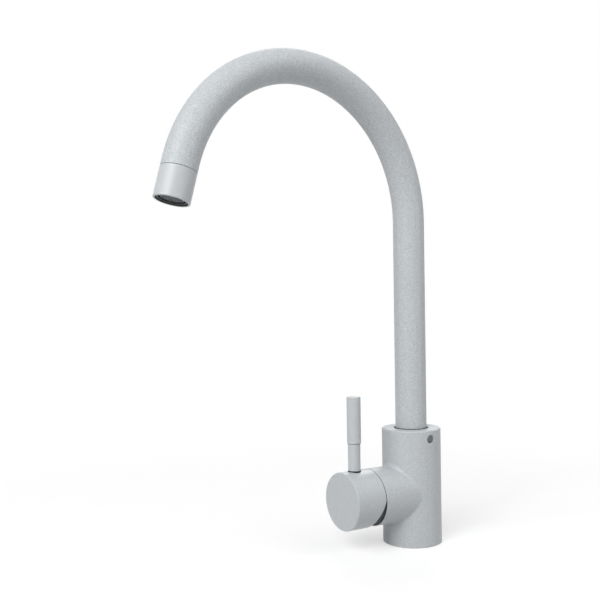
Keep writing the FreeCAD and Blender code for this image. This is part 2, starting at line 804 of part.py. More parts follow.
def make_grub_screw():
    top = branch_z - stem_square
    screw = upright(grub_r, top - grub_length, top, lever_x)
    key_start = Vector(lever_x, 0, top - grub_length)
    return screw.cut(hexagon(grub_hex, grub_hex_depth, key_start, Z_AXIS))


save("dome_cover", make_dome_cover())
save("knob", make_knob())
save("lever_rod", make_lever_rod())
save("lever_grip", make_lever_grip())
save("lever_base_ring", make_base_ring())
save("handle_grub_screw", make_grub_screw())
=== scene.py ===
# %% [markdown]
# # A kitchen mixer tap with a round swivel spout
#
# The real tap is cast, bent and turned from brass and has a powder coat that imitates pale grey granite.
# A round knob with a thin lever sits on its side branch, and the spout turns on the column.
# A CAD model already has every part at its true size, so this scene loads it as a fixed frame and
# gives it its looks: finer meshes where the eye is close, finishes, floor, light and camera.

# %% Load the CAD frame
import math
import bmesh
import bpy
from mathutils import Matrix, Vector


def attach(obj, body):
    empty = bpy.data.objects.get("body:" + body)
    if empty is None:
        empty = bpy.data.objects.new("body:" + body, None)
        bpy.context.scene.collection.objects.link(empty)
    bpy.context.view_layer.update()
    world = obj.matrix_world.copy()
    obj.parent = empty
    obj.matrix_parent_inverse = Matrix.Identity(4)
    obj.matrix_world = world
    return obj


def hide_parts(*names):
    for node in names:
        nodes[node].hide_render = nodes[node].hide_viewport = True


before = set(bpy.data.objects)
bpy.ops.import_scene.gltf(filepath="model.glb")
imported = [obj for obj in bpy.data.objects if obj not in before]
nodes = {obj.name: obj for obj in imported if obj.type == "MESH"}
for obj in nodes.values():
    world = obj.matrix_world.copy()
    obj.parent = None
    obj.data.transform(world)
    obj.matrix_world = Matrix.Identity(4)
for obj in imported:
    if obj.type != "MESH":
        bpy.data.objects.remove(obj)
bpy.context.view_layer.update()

# %% [markdown]
# ## Two helpers for finishes
#
# Colours are picked as the hex values that a screen shows, but a renderer counts light, so each one is
# turned to linear values once, here. The second helper adds one shader node with its settings and its
# links, so that a finish below reads like a recipe. Blender's own node editor would do the same by hand,
# but a script can be read, changed and run again.

# %% Colour and node helpers
def colour(hex_value):
    """Turn an sRGB hex value to the linear colour that a shader takes."""
    shares = [int(hex_value[i:i + 2], 16) / 255 for i in (1, 3, 5)]
    linear = [s / 12.92 if s <= 0.04045 else ((s + 0.055) / 1.055) ** 2.4 for s in shares]
    return (*linear, 1.0)


def add(tree, kind, sockets=None, **settings):
    """Add a node, and fill its sockets with values or with another node's output."""
    node = tree.nodes.new(kind)
    for name, value in settings.items():
        setattr(node, name, value)
    for socket, value in (sockets or {}).items():
        if isinstance(value, bpy.types.NodeSocket):
            tree.links.new(value, node.inputs[socket])
        else:
            node.inputs[socket].default_value = value
    return node


print("mid grey as light:", [round(share, 3) for share in colour("#808080")[:3]])

# %% [markdown]
# ## How every finish starts
#
# A material has one Principled shader, whose plain values are set on its own sockets, and a place on the
# piece, in metres, where the patterns are drawn. A pattern's scale counts repeats per metre, so a small
# helper turns a real size in millimetres into that scale. Most finishes also vary a little in tone and
# have a fine relief, and one helper each adds those from a noise, because image textures would tie the
# finish to one mesh and its unwrapping. A Mix node has sockets for numbers, vectors and colours, and its
# inputs 6 and 7 and its output 2 are the colours.

# %% Start a finish
def start_finish(name, base, roughness, metallic=0.0):
    """A material with plain values, its tree, its shader, and the place on the piece."""
    material = bpy.data.materials.new(name)
    material.use_nodes = True
    tree = material.node_tree
    shader = tree.nodes["Principled BSDF"]
    shader.inputs["Base Color"].default_value = colour(base)
    shader.inputs["Roughness"].default_value = roughness
    shader.inputs["Metallic"].default_value = metallic
    return material, tree, shader, add(tree, "ShaderNodeTexCoord").outputs["Object"]


MM = 0.001


def every(millimetres):
    """The scale of a pattern that repeats about once in this many millimetres."""
    return 1000 / millimetres


def vary_tone(tree, shader, place, size, first, second):
    """Let the base colour drift between two hex colours in clouds of this many millimetres."""
    clouds = add(tree, "ShaderNodeTexNoise", {"Vector": place, "Scale": every(size), "Detail": 4.0})
    drift = {0: clouds.outputs["Fac"], 6: colour(first), 7: colour(second)}
    tone = add(tree, "ShaderNodeMix", drift, data_type="RGBA").outputs[2]
    tree.links.new(tone, shader.inputs["Base Color"])
    return tone


def roughen(tree, shader, place, size, depth):
    """Give the surface a relief of this grain size and depth, both in millimetres."""
    grain = add(tree, "ShaderNodeTexNoise", {"Vector": place, "Scale": every(size), "Detail": 4.0})
    relief = add(tree, "ShaderNodeBump", {"Height": grain.outputs["Fac"], "Distance": depth * MM})
    tree.links.new(relief.outputs["Normal"], shader.inputs["Normal"])


print("a pattern of 0.5 mm has the scale", every(0.5))

# %% [markdown]
# ## Where bare metal shows, and where shade is painted
#
# The bores and the base are cut after casting and stay bare, so the coat of the body and of the knob
# has to show brass there. Those faces could be picked out on the mesh. Here a mask picks them, from how
# far a point lies along the axis that a bore was turned on and how far from it, so that it holds for any
# mesh. The branch's bore and its end get a dark brass that is painted shade, and all that shows of it is
# a dark line of shade behind the knob.

# %% Masks for bare metal and for painted shade
# The second brass is painted shade: a dark brass for the branch behind the knob, where only shade falls.
BRASS, BRANCH_SHADE_BRASS = "#DFC48A", "#45433F"
branch_axis = (0.0, 0.0, 43 * MM)


def distance_from(tree, place, centre, keep):
    """Distance in metres from a line through the centre. keep is 0 along the line and 1 across it."""
    away = add(tree, "ShaderNodeVectorMath", {0: place, 1: centre}, operation="SUBTRACT").outputs[0]
    across = add(tree, "ShaderNodeVectorMath", {0: away, 1: keep}, operation="MULTIPLY").outputs[0]
    return add(tree, "ShaderNodeVectorMath", {0: across}, operation="LENGTH").outputs["Value"]


def within(tree, distance, radius, place, direction, start, end):
    """1 nearer to an axis than the radius and between two places along it, in mm, and 0 elsewhere."""
    inside = add(tree, "ShaderNodeMath", {0: distance, 1: radius * MM}, operation="LESS_THAN").outputs[0]
    along = add(tree, "ShaderNodeSeparateXYZ", {0: place}).outputs[direction]
    past_start = add(tree, "ShaderNodeMath", {0: along, 1: start * MM}, operation="GREATER_THAN").outputs[0]
    before_end = add(tree, "ShaderNodeMath", {0: along, 1: end * MM}, operation="LESS_THAN").outputs[0]
    between = add(tree, "ShaderNodeMath", {0: past_start, 1: before_end}, operation="MULTIPLY").outputs[0]
    return add(tree, "ShaderNodeMath", {0: inside, 1: between}, operation="MULTIPLY").outputs[0]


def bare_metal_and_painted_shade_in_body(tree, place):
    """Masks and metals of the base and of the column's bore, and of the branch's bore and end, painted
    shade.
    """
    from_column = distance_from(tree, place, (0, 0, 0), (1, 1, 0))
    from_branch = distance_from(tree, place, branch_axis, (0, 1, 1))
    foot_r, bore_r, shade_r = 26.0, 21.9, 23.0
    below, base, rim = -1.0, 0.1, 96.0
    shade_from, shade_to = 24.0, 45.5
    return [
        (within(tree, from_column, foot_r, place, "Z", below, base), BRASS),
        (within(tree, from_column, bore_r, place, "Z", below, rim), BRASS),
        # painted shade: the branch's bore and its end get the dark brass
        (within(tree, from_branch, shade_r, place, "X", shade_from, shade_to), BRANCH_SHADE_BRASS),
    ]


def bare_in_knob(tree, place):
    """Mask and metal of the knob's socket and screw holes. Its hollow is coated as its outside is."""
    from_branch = distance_from(tree, place, branch_axis, (0, 1, 1))
    socket_r, web, face = 21.95, 55.2, 73.3
    return [(within(tree, from_branch, socket_r, place, "X", web, face), BRASS)]


print("bare brass", BRASS, "as light:", [round(share, 3) for share in colour(BRASS)[:3]])

# %% [markdown]
# ## Granite-effect powder coat
#
# The column, the pipe and the knob have a polyester powder coat over brass. It is sprayed as dry powder
# and baked, which leaves a satin skin with a faint orange peel, and light and dark flakes are mixed into
# the powder to imitate granite. To the eye that is a cool pale grey with a fine grain, dull, with a
# broad soft highlight. The flakes are Voronoi cells, of which a few are picked by their random colour.
# Real flakes are 0.3 to 0.5 mm across; they are drawn at 0.65 mm, because finer ones would melt into an
# even grey at the size of the render. They stand out most on the pipe, less on the column and least on
# the small knob, whose coat is also the smoothest, so each piece gives its own strength and roughness.
# The orange peel is a bump of a few hundredths of a millimetre.

# %% Granite-effect powder coat
flake_size, flake_edge, flake_middle = 0.65, 0.55, 0.25
flakes = {"Red": (0.30, "#E6EAEC"), "Green": (0.25, "#94999D")}
peel_size, peel_depth, coat_ior = 1.2, 0.05, 1.45


def flake_mask(tree, cells, channel, share, strength):
    """The strength in the middle of this share of the cells, and 0 elsewhere."""
    draw = add(tree, "ShaderNodeSeparateColor", {"Color": cells.outputs["Color"]}).outputs[channel]
    chosen = add(tree, "ShaderNodeMath", {0: draw, 1: 1 - share}, operation="GREATER_THAN").outputs[0]
    out = cells.outputs["Distance"]
    reach = {"Value": out, "From Min": flake_edge, "From Max": flake_middle, "To Max": strength}
    middle = add(tree, "ShaderNodeMapRange", reach).outputs[0]
    return add(tree, "ShaderNodeMath", {0: chosen, 1: middle}, operation="MULTIPLY").outputs[0]


def let_metal_show(tree, shader, coat, roughness, places):
    """Turn the coat to bare metal, and to brass painted dark as shade, where the masks say, and give back
    its colour.
    """
    anywhere = 0.0
    for mask, metal in places:
        worn = {0: mask, 6: coat, 7: colour(metal)}
        coat = add(tree, "ShaderNodeMix", worn, data_type="RGBA").outputs[2]
        anywhere = add(tree, "ShaderNodeMath", {0: anywhere, 1: mask}, operation="MAXIMUM").outputs[0]
    tree.links.new(anywhere, shader.inputs["Metallic"])
    gloss = add(tree, "ShaderNodeMapRange", {"Value": anywhere, "To Min": roughness, "To Max": 0.3})
    tree.links.new(gloss.outputs[0], shader.inputs["Roughness"])
    return coat


def granite_coat(name, strength, roughness, bare_and_shade=None):
    """The coat with flakes of this strength, from 0 to 1, and, where the masks say, bare metal and brass
    painted as shade.
    """
    material, tree, shader, place = start_finish(name, "#C0C4C7", roughness)
    shader.inputs["IOR"].default_value = coat_ior
    cells = add(tree, "ShaderNodeTexVoronoi", {"Vector": place, "Scale": every(flake_size)})
    grain = vary_tone(tree, shader, place, 5, "#BDC2C5", "#C4C8CB")
    for channel, (share, tone) in flakes.items():
        flaked = {0: flake_mask(tree, cells, channel, share, strength), 6: grain, 7: colour(tone)}
        grain = add(tree, "ShaderNodeMix", flaked, data_type="RGBA").outputs[2]
    if bare_and_shade:
        grain = let_metal_show(tree, shader, grain, roughness, bare_and_shade(tree, place))
    tree.links.new(grain, shader.inputs["Base Color"])
    roughen(tree, shader, place, peel_size, peel_depth * strength)
    return material


granite = granite_coat("granite_effect_powder_coat", 0.8, 0.5)
granite_body = granite_coat("granite_effect_powder_coat_on_the_body", 0.55, 0.42, bare_metal_and_painted_shade_in_body)
granite_knob = granite_coat("granite_effect_powder_coat_on_the_knob", 0.35, 0.34, bare_in_knob)
print("granite coat: a flake every", flake_size, "mm; share and colour by channel:", flakes)

# %% [markdown]
# ## Satin powder coat
#
# The lever and the outlet's sleeve are thinner, and their coat is the same colour without the flakes. It
# was baked a little smoother, so it gives the eye an even tone and a tighter highlight that runs along
# the piece.

# %% Satin powder coat
satin, tree, shader, place = start_finish("satin_powder_coat", "#C2C6C9", 0.36)
shader.inputs["IOR"].default_value = coat_ior
vary_tone(tree, shader, place, 3, "#BFC3C6", "#C6CACC")
roughen(tree, shader, place, peel_size, 0.01)
print("finishes so far:", [material.name for material in (granite, granite_body, granite_knob, satin)])

# %% [markdown]
# ## Rubber and plastics
#
# The seals are moulded EPDM rubber: black, dull and slightly grainy, so they draw a dark line at the foot
# of the pipe and of the lever. The plastics are moulded too and differ in gloss and tone: black acetal
# for the slide rings and for the dome that the knob swings over, because it runs well on brass, a pale
# glass-filled plastic for the cartridge, a darker one for the aerator, and a soft grey stopper over the
# lock screw. Moulds leave an even skin, so each gets a faint drift in tone and a fine relief instead of
# a pattern.

# %% Rubber and plastics
def moulded_finish(name, base, roughness, clouds, grain):
    """An even skin. clouds are a size in mm and two tones, and grain is a size and a depth in mm."""
    material, tree, shader, place = start_finish(name, base, roughness)
    vary_tone(tree, shader, place, *clouds)
    roughen(tree, shader, place, *grain)
    print(name, "has the roughness", roughness)
    return material


rubber = moulded_finish(
    "moulded_epdm_rubber", "#1E1F20", 0.7, (2, "#1A1B1C", "#232425"), (0.4, 0.01))
acetal = moulded_finish(
    "moulded_black_acetal", "#434648", 0.38, (4, "#404345", "#474A4C"), (0.6, 0.004))
nylon = moulded_finish(
    "glass_filled_cartridge_plastic", "#E6E6E2", 0.45, (1.0, "#E1E1DC", "#EAEAE7"), (0.5, 0.006))
aerator_plastic = moulded_finish(
    "moulded_aerator_plastic", "#505355", 0.5, (1.5, "#4C4F51", "#55585A"), (0.5, 0.006))
stopper = moulded_finish(
    "moulded_grey_stopper", "#64696C", 0.32, (1.0, "#606568", "#696E71"), (0.5, 0.006))

# %% [markdown]
# ## Turned metal
#
# The nipple, the bush, the nut and the stem are turned from brass and stay bare inside the tap; the pin
# and the screws are stainless steel. A cutting tool leaves fine rings round the axis that the piece was
# turned on, so the noise is drawn only along that axis and outwards from it, never round it. The rings
# are about 0.1 mm apart on the real piece and are drawn at 0.3 mm, to show at all. Metals keep the
# default IOR, because their colour says how they mirror.

# %% Turned metal
tool_mark, mark_depth, gloss_spread = 0.3, 0.004, 0.08


def turned_finish(name, base, roughness, centre, axis):
    """Bare metal with tool marks round an axis, which is 1 along one direction and 0 along the others."""
    material, tree, shader, place = start_finish(name, base, roughness, metallic=1.0)
    away = add(tree, "ShaderNodeVectorMath", {0: place, 1: centre}, operation="SUBTRACT").outputs[0]
    along = add(tree, "ShaderNodeVectorMath", {0: away, 1: axis}, operation="DOT_PRODUCT").outputs["Value"]
    out = distance_from(tree, place, centre, tuple(1 - share for share in axis))
    rings = add(tree, "ShaderNodeCombineXYZ", {"X": along, "Y": out}).outputs[0]
    tool = {"Vector": rings, "Scale": every(tool_mark), "Detail": 2.0}
    marks = add(tree, "ShaderNodeTexNoise", tool).outputs["Fac"]
    relief = add(tree, "ShaderNodeBump", {"Height": marks, "Distance": mark_depth * MM})
    tree.links.new(relief.outputs["Normal"], shader.inputs["Normal"])
    spread = {"Value": marks, "To Min": roughness - gloss_spread, "To Max": roughness + gloss_spread}
    tree.links.new(add(tree, "ShaderNodeMapRange", spread).outputs[0], shader.inputs["Roughness"])
    print(name, "has marks round", axis)
    return material


upright, along_branch, across = (0, 0, 1), (1, 0, 0), (0, 1, 0)
lever_x, lock_z = 60.85, 89.7
pin_axis = (40.25 * MM, 0, 43 * MM)
STEEL = "#C4C4C5"
brass_column = turned_finish("turned_brass_on_the_column", BRASS, 0.3, (0, 0, 0), upright)
brass_branch = turned_finish("turned_brass_in_the_branch", BRASS, 0.3, branch_axis, along_branch)
steel_pin = turned_finish("ground_steel_pin", STEEL, 0.25, pin_axis, across)
steel_lock = turned_finish("turned_steel_lock_screw", STEEL, 0.32, (0, 0, lock_z * MM), across)
steel_grub = turned_finish("turned_steel_grub_screw", STEEL, 0.32, (lever_x * MM, 0, 0), upright)

# %% [markdown]
# ## Brass painted as shade, and ceramic
#
# Inside the pipe and at the mouth, bare brass is painted a dull dark brown as painted shade, so that the
# mouth's bore shows dark; this finish isn't metallic. The two discs in the cartridge are sintered
# alumina, lapped flat: off-white, smooth and hard. Both have only a faint drift in tone and a fine
# relief, so they come from the same helper as the plastics.

# %% Brass painted as shade, and ceramic
# Painted shade: a dark brass for the inside of the pipe and for the mouth.
shade_painted_brass = moulded_finish(
    "brass_painted_dark_as_shade", "#3B3A36", 0.55, (1.5, "#33322F", "#45433D"), (0.5, 0.01))
ceramic = moulded_finish(
    "lapped_alumina_ceramic", "#EEEEEA", 0.22, (0.6, "#EAEAE5", "#F1F1EE"), (0.3, 0.002))

# %% [markdown]
# ## Which piece has which finish
#
# The CAD pieces whose shape is right stay, and get their finish in place of the plain one. One table says
# which, so that a finish can be swapped for the whole tap in one line. The pieces that are replaced
# further on are in it too, because their CAD nodes stay in the model, hidden.

# %% Give each CAD node its finish
finishes = {
    granite_body: ["body"],
    granite_knob: ["knob"],
    granite: ["spout_tube"],
    satin: ["lever_rod", "lever_grip", "aerator_sleeve"],
    rubber: [
        "base_seal", "foot_wiper", "cartridge_port_seals",
        "nipple_o_rings", "aerator_seal", "lever_base_ring",
    ],
    acetal: ["slide_ring_upper", "slide_ring_lower", "slide_washer", "dome_cover"],
    nylon: ["cartridge_base", "cartridge_housing", "lever_guide", "disc_carrier"],
    aerator_plastic: ["aerator_housing", "aerator_flow_disc"],
    stopper: ["lock_screw_plug"],
    brass_column: ["spout_nipple", "outlet_bush"],
    brass_branch: ["cartridge_nut", "stem"],
    steel_pin: ["pivot_pin"],
    steel_lock: ["spout_lock_screw"],
    steel_grub: ["handle_grub_screw"],
    ceramic: ["fixed_disc", "moving_disc"],
}
for finish, names in finishes.items():
    for name in names:
        nodes[name].data.materials.clear()
        nodes[name].data.materials.append(finish)
print("nodes with a finish so far:", sum(len(names) for names in finishes.values()), "of", len(nodes))

# %% [markdown]
# ## Skins of turned and bent pieces
#
# The pipe, the sleeve and the lever are round, and the eye runs along their edges, so they get meshes
# that are finer than the CAD model's. Blender's curves with a bevel or its Screw modifier could make
# them too. Joining rings of points is as short, gives clean quads, and leaves every ring where the
# drawing has it. Edges that bend by more than 35 degrees stay sharp, and large faces keep flat shading
# because their normals count by area.

# %% Skins
sharp_above = math.radians(35)


def skin(name, rings, closed=True):
    """Join rings of points, in mm, to one skin. A closed skin joins its last ring to its first."""
    mesh = bmesh.new()
    loops = [[mesh.verts.new(Vector(point) * MM) for point in ring] for ring in rings]
    around = len(loops[0])
    above = loops[1:] + loops[:1] if closed else loops[1:]
    for lower, upper in zip(loops, above):
        for k in range(around):
            following = (k + 1) % around
            mesh.faces.new((lower[k], lower[following], upper[following], upper[k]))
    if not closed:
        mesh.faces.new(reversed(loops[0]))
        mesh.faces.new(loops[-1])
    bmesh.ops.recalc_face_normals(mesh, faces=mesh.faces)
    data = bpy.data.meshes.new(name)
    mesh.to_mesh(data)
    mesh.free()
    data.shade_smooth()
    data.set_sharp_from_angle(angle=sharp_above)
    piece = bpy.data.objects.new(name, data)
    bpy.context.scene.collection.objects.link(piece)
    by_area = piece.modifiers.new("normals_by_area", "WEIGHTED_NORMAL")
    by_area.keep_sharp = True
    return piece


def softened(corners, closed=True, steps=5):
    """An outline in mm from corners (radius, height, rounding), each rounding drawn as a short arc."""
    outline = []
    for k, (out, height, rounding) in enumerate(corners):
        end_of_open_line = not closed and k in (0, len(corners) - 1)
        if rounding == 0 or end_of_open_line:
            outline.append((out, height))
            continue
        corner = Vector((out, height))
        before = (Vector(corners[k - 1][:2]) - corner).normalized()
        after = (Vector(corners[(k + 1) % len(corners)][:2]) - corner).normalized()
        half = before.angle(after) / 2
        inwards = (before + after).normalized() / math.sin(half)
        first = before / math.tan(half) - inwards
        last = after / math.tan(half) - inwards
        for step in range(steps + 1):
            direction = first.slerp(last, step / steps)
            outline.append(tuple(corner + rounding * (inwards + direction)))
    return outline


def turned(name, outline, where, closed=True, around=128):
    """Turn an outline round the upright axis, and move it by a matrix in mm."""
    turns = [2 * math.pi * k / around for k in range(around)]
    rings = [
        [where @ Vector((out * math.cos(t), out * math.sin(t), height)) for t in turns]
        for out, height in outline
    ]
    return skin(name, rings, closed)


def finish_inside(piece, finish, pairs, around=128):
    """Give another finish to the faces between these pairs of rings, which lie inside."""
    piece.data.materials.append(finish)
    for face in piece.data.polygons:
        if face.index // around in pairs:
            face.material_index = 1


def stands_for(piece, finish, body, slot, *replaced):
    """Give a piece its finish, let it ride on its body, and hide the CAD nodes that it stands for."""
    piece.data.materials.append(finish)
    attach(piece, body)
    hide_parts(*replaced)
    print(piece.name, "has", len(piece.data.polygons), "faces and stands for", *replaced)


# %% [markdown]
# ## Spout pipe
#
# The real spout is one brass tube: a long straight riser, a wide round arch and a short straight end. It
# was bent cold, so its section stays round and its outside runs on without a seam. A bevelled curve
# would give the same skin, but here the wall's thickness and the broken edge at the end are wanted too,
# so rings are set along the line: a few on the straights and one every 1.5 degrees on the arch. The
# spout rests 5.9 degrees to one side of the branch, as in the photograph. No powder reaches the inside.

# %% Spout pipe
spout_rest = math.radians(5.9)
riser_foot, riser_top = 94.5, 272.3
riser_steps, arch_steps, close_to_foot = 16, 110, (0, 0.2, 2)
bend_r, bend_sweep = 114.5, math.radians(164.65)
outlet_straight = 27.6
pipe_end, pipe_edge = 22.8, 0.25
pipe_r, pipe_inner_r = 13.25, 12.25


def spout_line():
    """Stops along the pipe's centre line: how far out, how high, and how far the pipe has turned over."""
    rise = riser_top - riser_foot
    stops = [((0.0, riser_foot + above), 0.0) for above in close_to_foot]
    stops += [((0.0, riser_foot + rise * k / riser_steps), 0.0) for k in range(1, riser_steps)]
    for k in range(arch_steps + 1):
        turn = bend_sweep * k / arch_steps
        stops.append(((bend_r - bend_r * math.cos(turn), riser_top + bend_r * math.sin(turn)), turn))
    (u, z), turn = stops[-1]
    for run in (3.0, outlet_straight - pipe_end - pipe_edge, outlet_straight - pipe_end):
        stops.append(((u + run * math.sin(turn), z + run * math.cos(turn)), turn))
    return stops


def pipe_ring(stop, radius, around=128):
    """A ring of points square to the line at one stop."""
    (u, z), turn = stop
    ring = []
    for k in range(around):
        angle = 2 * math.pi * k / around
        out = radius * math.cos(angle)
        side = radius * math.sin(angle)
        along = u - out * math.cos(turn)
        x = along * math.cos(spout_rest) - side * math.sin(spout_rest)
        y = along * math.sin(spout_rest) + side * math.cos(spout_rest)
        ring.append((x, y, z + out * math.sin(turn)))
    return ring


line = spout_line()
outer = [pipe_ring(stop, pipe_r) for stop in line]
outer[-1] = pipe_ring(line[-1], pipe_r - pipe_edge)
inner = [pipe_ring(stop, pipe_inner_r) for stop in reversed(line)]
pipe = skin("spout_pipe", outer + inner)
stands_for(pipe, granite, "spout", "granite_coat", "spout_tube")
# The pipe's inside is painted in the dark brass, as painted shade.
finish_inside(pipe, shade_painted_brass, range(len(line) - 1, 2 * len(line)))

# %% [markdown]
# ## Sleeve at the outlet
#
# The sleeve is screwed into the pipe's end and holds the aerator. It has the pipe's own diameter, so all
# that shows of the joint is a thin dark line, which comes from a real gap of 0.2 mm between two broken
# edges. Its mouth is a thin rim with small roundings, turned here from an outline. The outlet's own
# frame has its origin in the middle of the mouth and its upright axis along the pipe.

# %% Sleeve at the outlet
mouth_u = bend_r - bend_r * math.cos(bend_sweep) + outlet_straight * math.sin(bend_sweep)
mouth_z = riser_top + bend_r * math.sin(bend_sweep) + outlet_straight * math.cos(bend_sweep)
lean = Matrix.Rotation(bend_sweep - math.pi, 4, "Y")
at_outlet = Matrix.Rotation(spout_rest, 4, "Z") @ Matrix.Translation((mouth_u, 0, mouth_z)) @ lean

mouth_r, mouth_depth = 11.75, 17.5
sleeve_length, spigot_end = 22.6, 27.3
spigot_r, spigot_bore_r = 11.0, 9.6
sleeve_outline = softened([
    (pipe_r, 0, 0.4), (pipe_r, sleeve_length, 0.25), (spigot_r, sleeve_length, 0),
    (spigot_r, spigot_end, 0.2), (spigot_bore_r, spigot_end, 0.2), (spigot_bore_r, mouth_depth, 0),
    (mouth_r, mouth_depth, 0), (mouth_r, 0, 0.25),
])
sleeve = turned("outlet_sleeve", sleeve_outline, at_outlet)
stands_for(sleeve, satin, "spout", "satin_coat", "aerator_sleeve")
coated_to, edge = pipe_r - 0.2, 0.3
shaded_rings = [k for k, (out, height) in enumerate(sleeve_outline) if out < coated_to and height > edge]
# The sleeve's bore and mouth are painted in the dark brass, as painted shade.
finish_inside(sleeve, shade_painted_brass, shaded_rings)

# %% [markdown]
# ## Aerator grid
#
# The grid that the water leaves through is moulded in black plastic, with round holes about 1.2 mm wide.
# Its face is painted in pale greys as painted light, and the holes and the groove round it in near-black
# as painted shade, so from below it reads as a grey mesh between dark rings. The split is a mask on how
# deep a point lies in the mouth, measured along the outlet's own axis. A bump could suggest the holes,
# but they are real in the CAD model.

# %% Aerator grid
mouth = at_outlet.translation * MM
inwards = at_outlet.to_3x3() @ Vector((0, 0, 1))
# Painted light and shade: pale greys on the grid's face, near-black deeper in the mouth.
grid_shade_colour, lit_face_tone, lit_face_tone_pale, lit_face_depth = "#2A2C2D", "#5F6365", "#94989A", 2.4
grid_plastic, tree, shader, place = start_finish("moulded_grid_plastic_with_painted_light_and_shade", grid_shade_colour, 0.5)
from_mouth = add(tree, "ShaderNodeVectorMath", {0: place, 1: mouth}, operation="SUBTRACT").outputs[0]
along = {0: from_mouth, 1: inwards}
depth = add(tree, "ShaderNodeVectorMath", along, operation="DOT_PRODUCT").outputs["Value"]
on_lit_face = add(tree, "ShaderNodeMath", {0: depth, 1: lit_face_depth * MM}, operation="LESS_THAN").outputs[0]
patches = add(tree, "ShaderNodeTexNoise", {"Vector": place, "Scale": every(3), "Detail": 3.0})
lit_face_tones = {0: patches.outputs["Fac"], 6: colour(lit_face_tone), 7: colour(lit_face_tone_pale)}
painted_face_light = add(tree, "ShaderNodeMix", lit_face_tones, data_type="RGBA").outputs[2]
face = add(tree, "ShaderNodeMix", {0: on_lit_face, 6: colour(grid_shade_colour), 7: painted_face_light}, data_type="RGBA").outputs[2]
tree.links.new(face, shader.inputs["Base Color"])
roughen(tree, shader, place, 0.5, 0.01)
grid = nodes["aerator_outlet_grid"].data
grid.materials.clear()
grid.materials.append(grid_plastic)
print("mouth at", [round(value / MM, 1) for value in mouth], "mm")
print("outlet's axis", [round(value, 3) for value in inwards])

# %% [markdown]
# ## Lever
#
# The lever is a turned rod that is screwed into the knob, with a slightly thicker grip pushed over its
# upper part. A small step and a groove of a third of a millimetre, which draws a fine dark line, tell
# them apart. Paint could draw that line too, but not its depth. The rod's end goes into the knob, so
# its outline starts at the thread's foot. A soft black ring seals its foot against the knob and stands
# up round it as a thin collar.

# %% Lever
on_knob = Matrix.Translation((lever_x, 0, 0))
rod_foot, rod_shoulder, grip_top = 66.8, 89.3, 127.5
stud_foot, core_end, bore_end = 54.8, 122.3, 122.6
stud_r, rod_r, core_r, grip_bore_r, grip_r, pole_r = 3.0, 5.1, 4.0, 4.05, 5.75, 0.5
under_grip = rod_shoulder - 0.35
rod_outline = softened([
    (pole_r, stud_foot, 0), (stud_r, stud_foot, 0.4), (stud_r, rod_foot, 0), (rod_r, rod_foot, 0.2),
    (rod_r, under_grip, 0.1), (core_r, under_grip, 0), (core_r, core_end, 0.4), (pole_r, core_end, 0),
], closed=False)
rod = turned("lever_rod_turned", rod_outline, on_knob, closed=False)
stands_for(rod, satin, "lever", "satin_coat", "lever_rod")

grip_outline = [(pole_r, bore_end)] + softened([
    (grip_bore_r, bore_end, 0), (grip_bore_r, rod_shoulder, 0.1), (grip_r, rod_shoulder, 0.3),
    (grip_r, grip_top, 0.8), (pole_r, grip_top, 0),
], closed=False)
grip = turned("lever_grip_turned", grip_outline, on_knob, closed=False)
stands_for(grip, satin, "lever", "satin_coat", "lever_grip")

ring_floor, collar_top = 65.8, rod_foot + 0.5
ring_r, collar_bore_r, ring_bore_r = 5.3, 5.12, 3.05
ring_outline = softened([
    (ring_r, ring_floor, 0.2), (ring_r, collar_top, 0.1), (collar_bore_r, collar_top, 0),
    (collar_bore_r, rod_foot, 0), (ring_bore_r, rod_foot, 0.1), (ring_bore_r, ring_floor, 0.1),
])
base_ring = turned("lever_base_ring_turned", ring_outline, on_knob)
stands_for(base_ring, rubber, "lever", "black_rubber", "lever_base_ring")

# %% [markdown]
# ## Stopper
#
# A small soft stopper hides the screw that keeps the spout in. Its face bulges, so one side of it catches
# the light and the other goes dark, which makes it look like a bead at this size. It is turned like the
# rest, from the arc of a ball, and then laid down so that its axis points out of the column.

# %% Stopper
stopper_r, stopper_foot, stopper_top, bulge = 3.45, 22.0, 24.9, 1.4
face_steps, tip_r, foot_tip_r = 12, 0.2, 0.3
ball_r = (stopper_r**2 + bulge**2) / (2 * bulge)
stopper_outline = [(foot_tip_r, stopper_foot), (stopper_r, stopper_foot)]
for step in range(face_steps + 1):
    out = stopper_r * math.cos(math.pi / 2 * step / face_steps) + tip_r * step / face_steps
    stopper_outline.append((out, stopper_top - ball_r + math.sqrt(ball_r**2 - out**2)))
out_of_column = Matrix.Translation((0, 0, lock_z)) @ Matrix.Rotation(math.radians(-90), 4, "X")
bead = turned("stopper_turned", stopper_outline, out_of_column, closed=False, around=64)
stands_for(bead, stopper, "tap_body", "grey_plug", "lock_screw_plug")

# %% [markdown]
# ## Camera
#
# The photograph was taken from the height of the tap's middle, with a lens that hardly converges, so the
# camera stands level, 0.7 m away. Its place was found by laying the CAD outline over the picture.

# %% Camera
yaw, pitch, roll = math.radians(147.22), math.radians(0.16), math.radians(-0.72)
lens = bpy.data.cameras.new("camera")
lens.lens, lens.sensor_width = 50.0, 36.0
camera = bpy.data.objects.new("camera", lens)
level = Matrix.Rotation(math.radians(90) + pitch, 4, "X")
turn = Matrix.Rotation(yaw, 4, "Z") @ level @ Matrix.Rotation(roll, 4, "Z")
camera_place = (0.4668, 0.5513, 0.2054)
camera.matrix_world = Matrix.Translation(camera_place) @ turn
bpy.context.scene.collection.objects.link(camera)
bpy.context.scene.camera = camera
print("camera", round(math.dist(camera_place, (0, 0, camera_place[2])), 3), "m from the column's axis")

# %% [markdown]
# ## Floor
#
# The photograph shows the tap on white, with a very soft shadow at its foot. White could come from strong
# lamps, but these would burn out the pale coat. So the lamps stay plain, and rays that come straight from
# the camera, or by way of a gloss or a glass, see the floor, a matt white board, as nearly white. It
# keeps the tap's shadow, because its glow only fills up what the lamps leave to white, and further from
# the tap it is pure white.

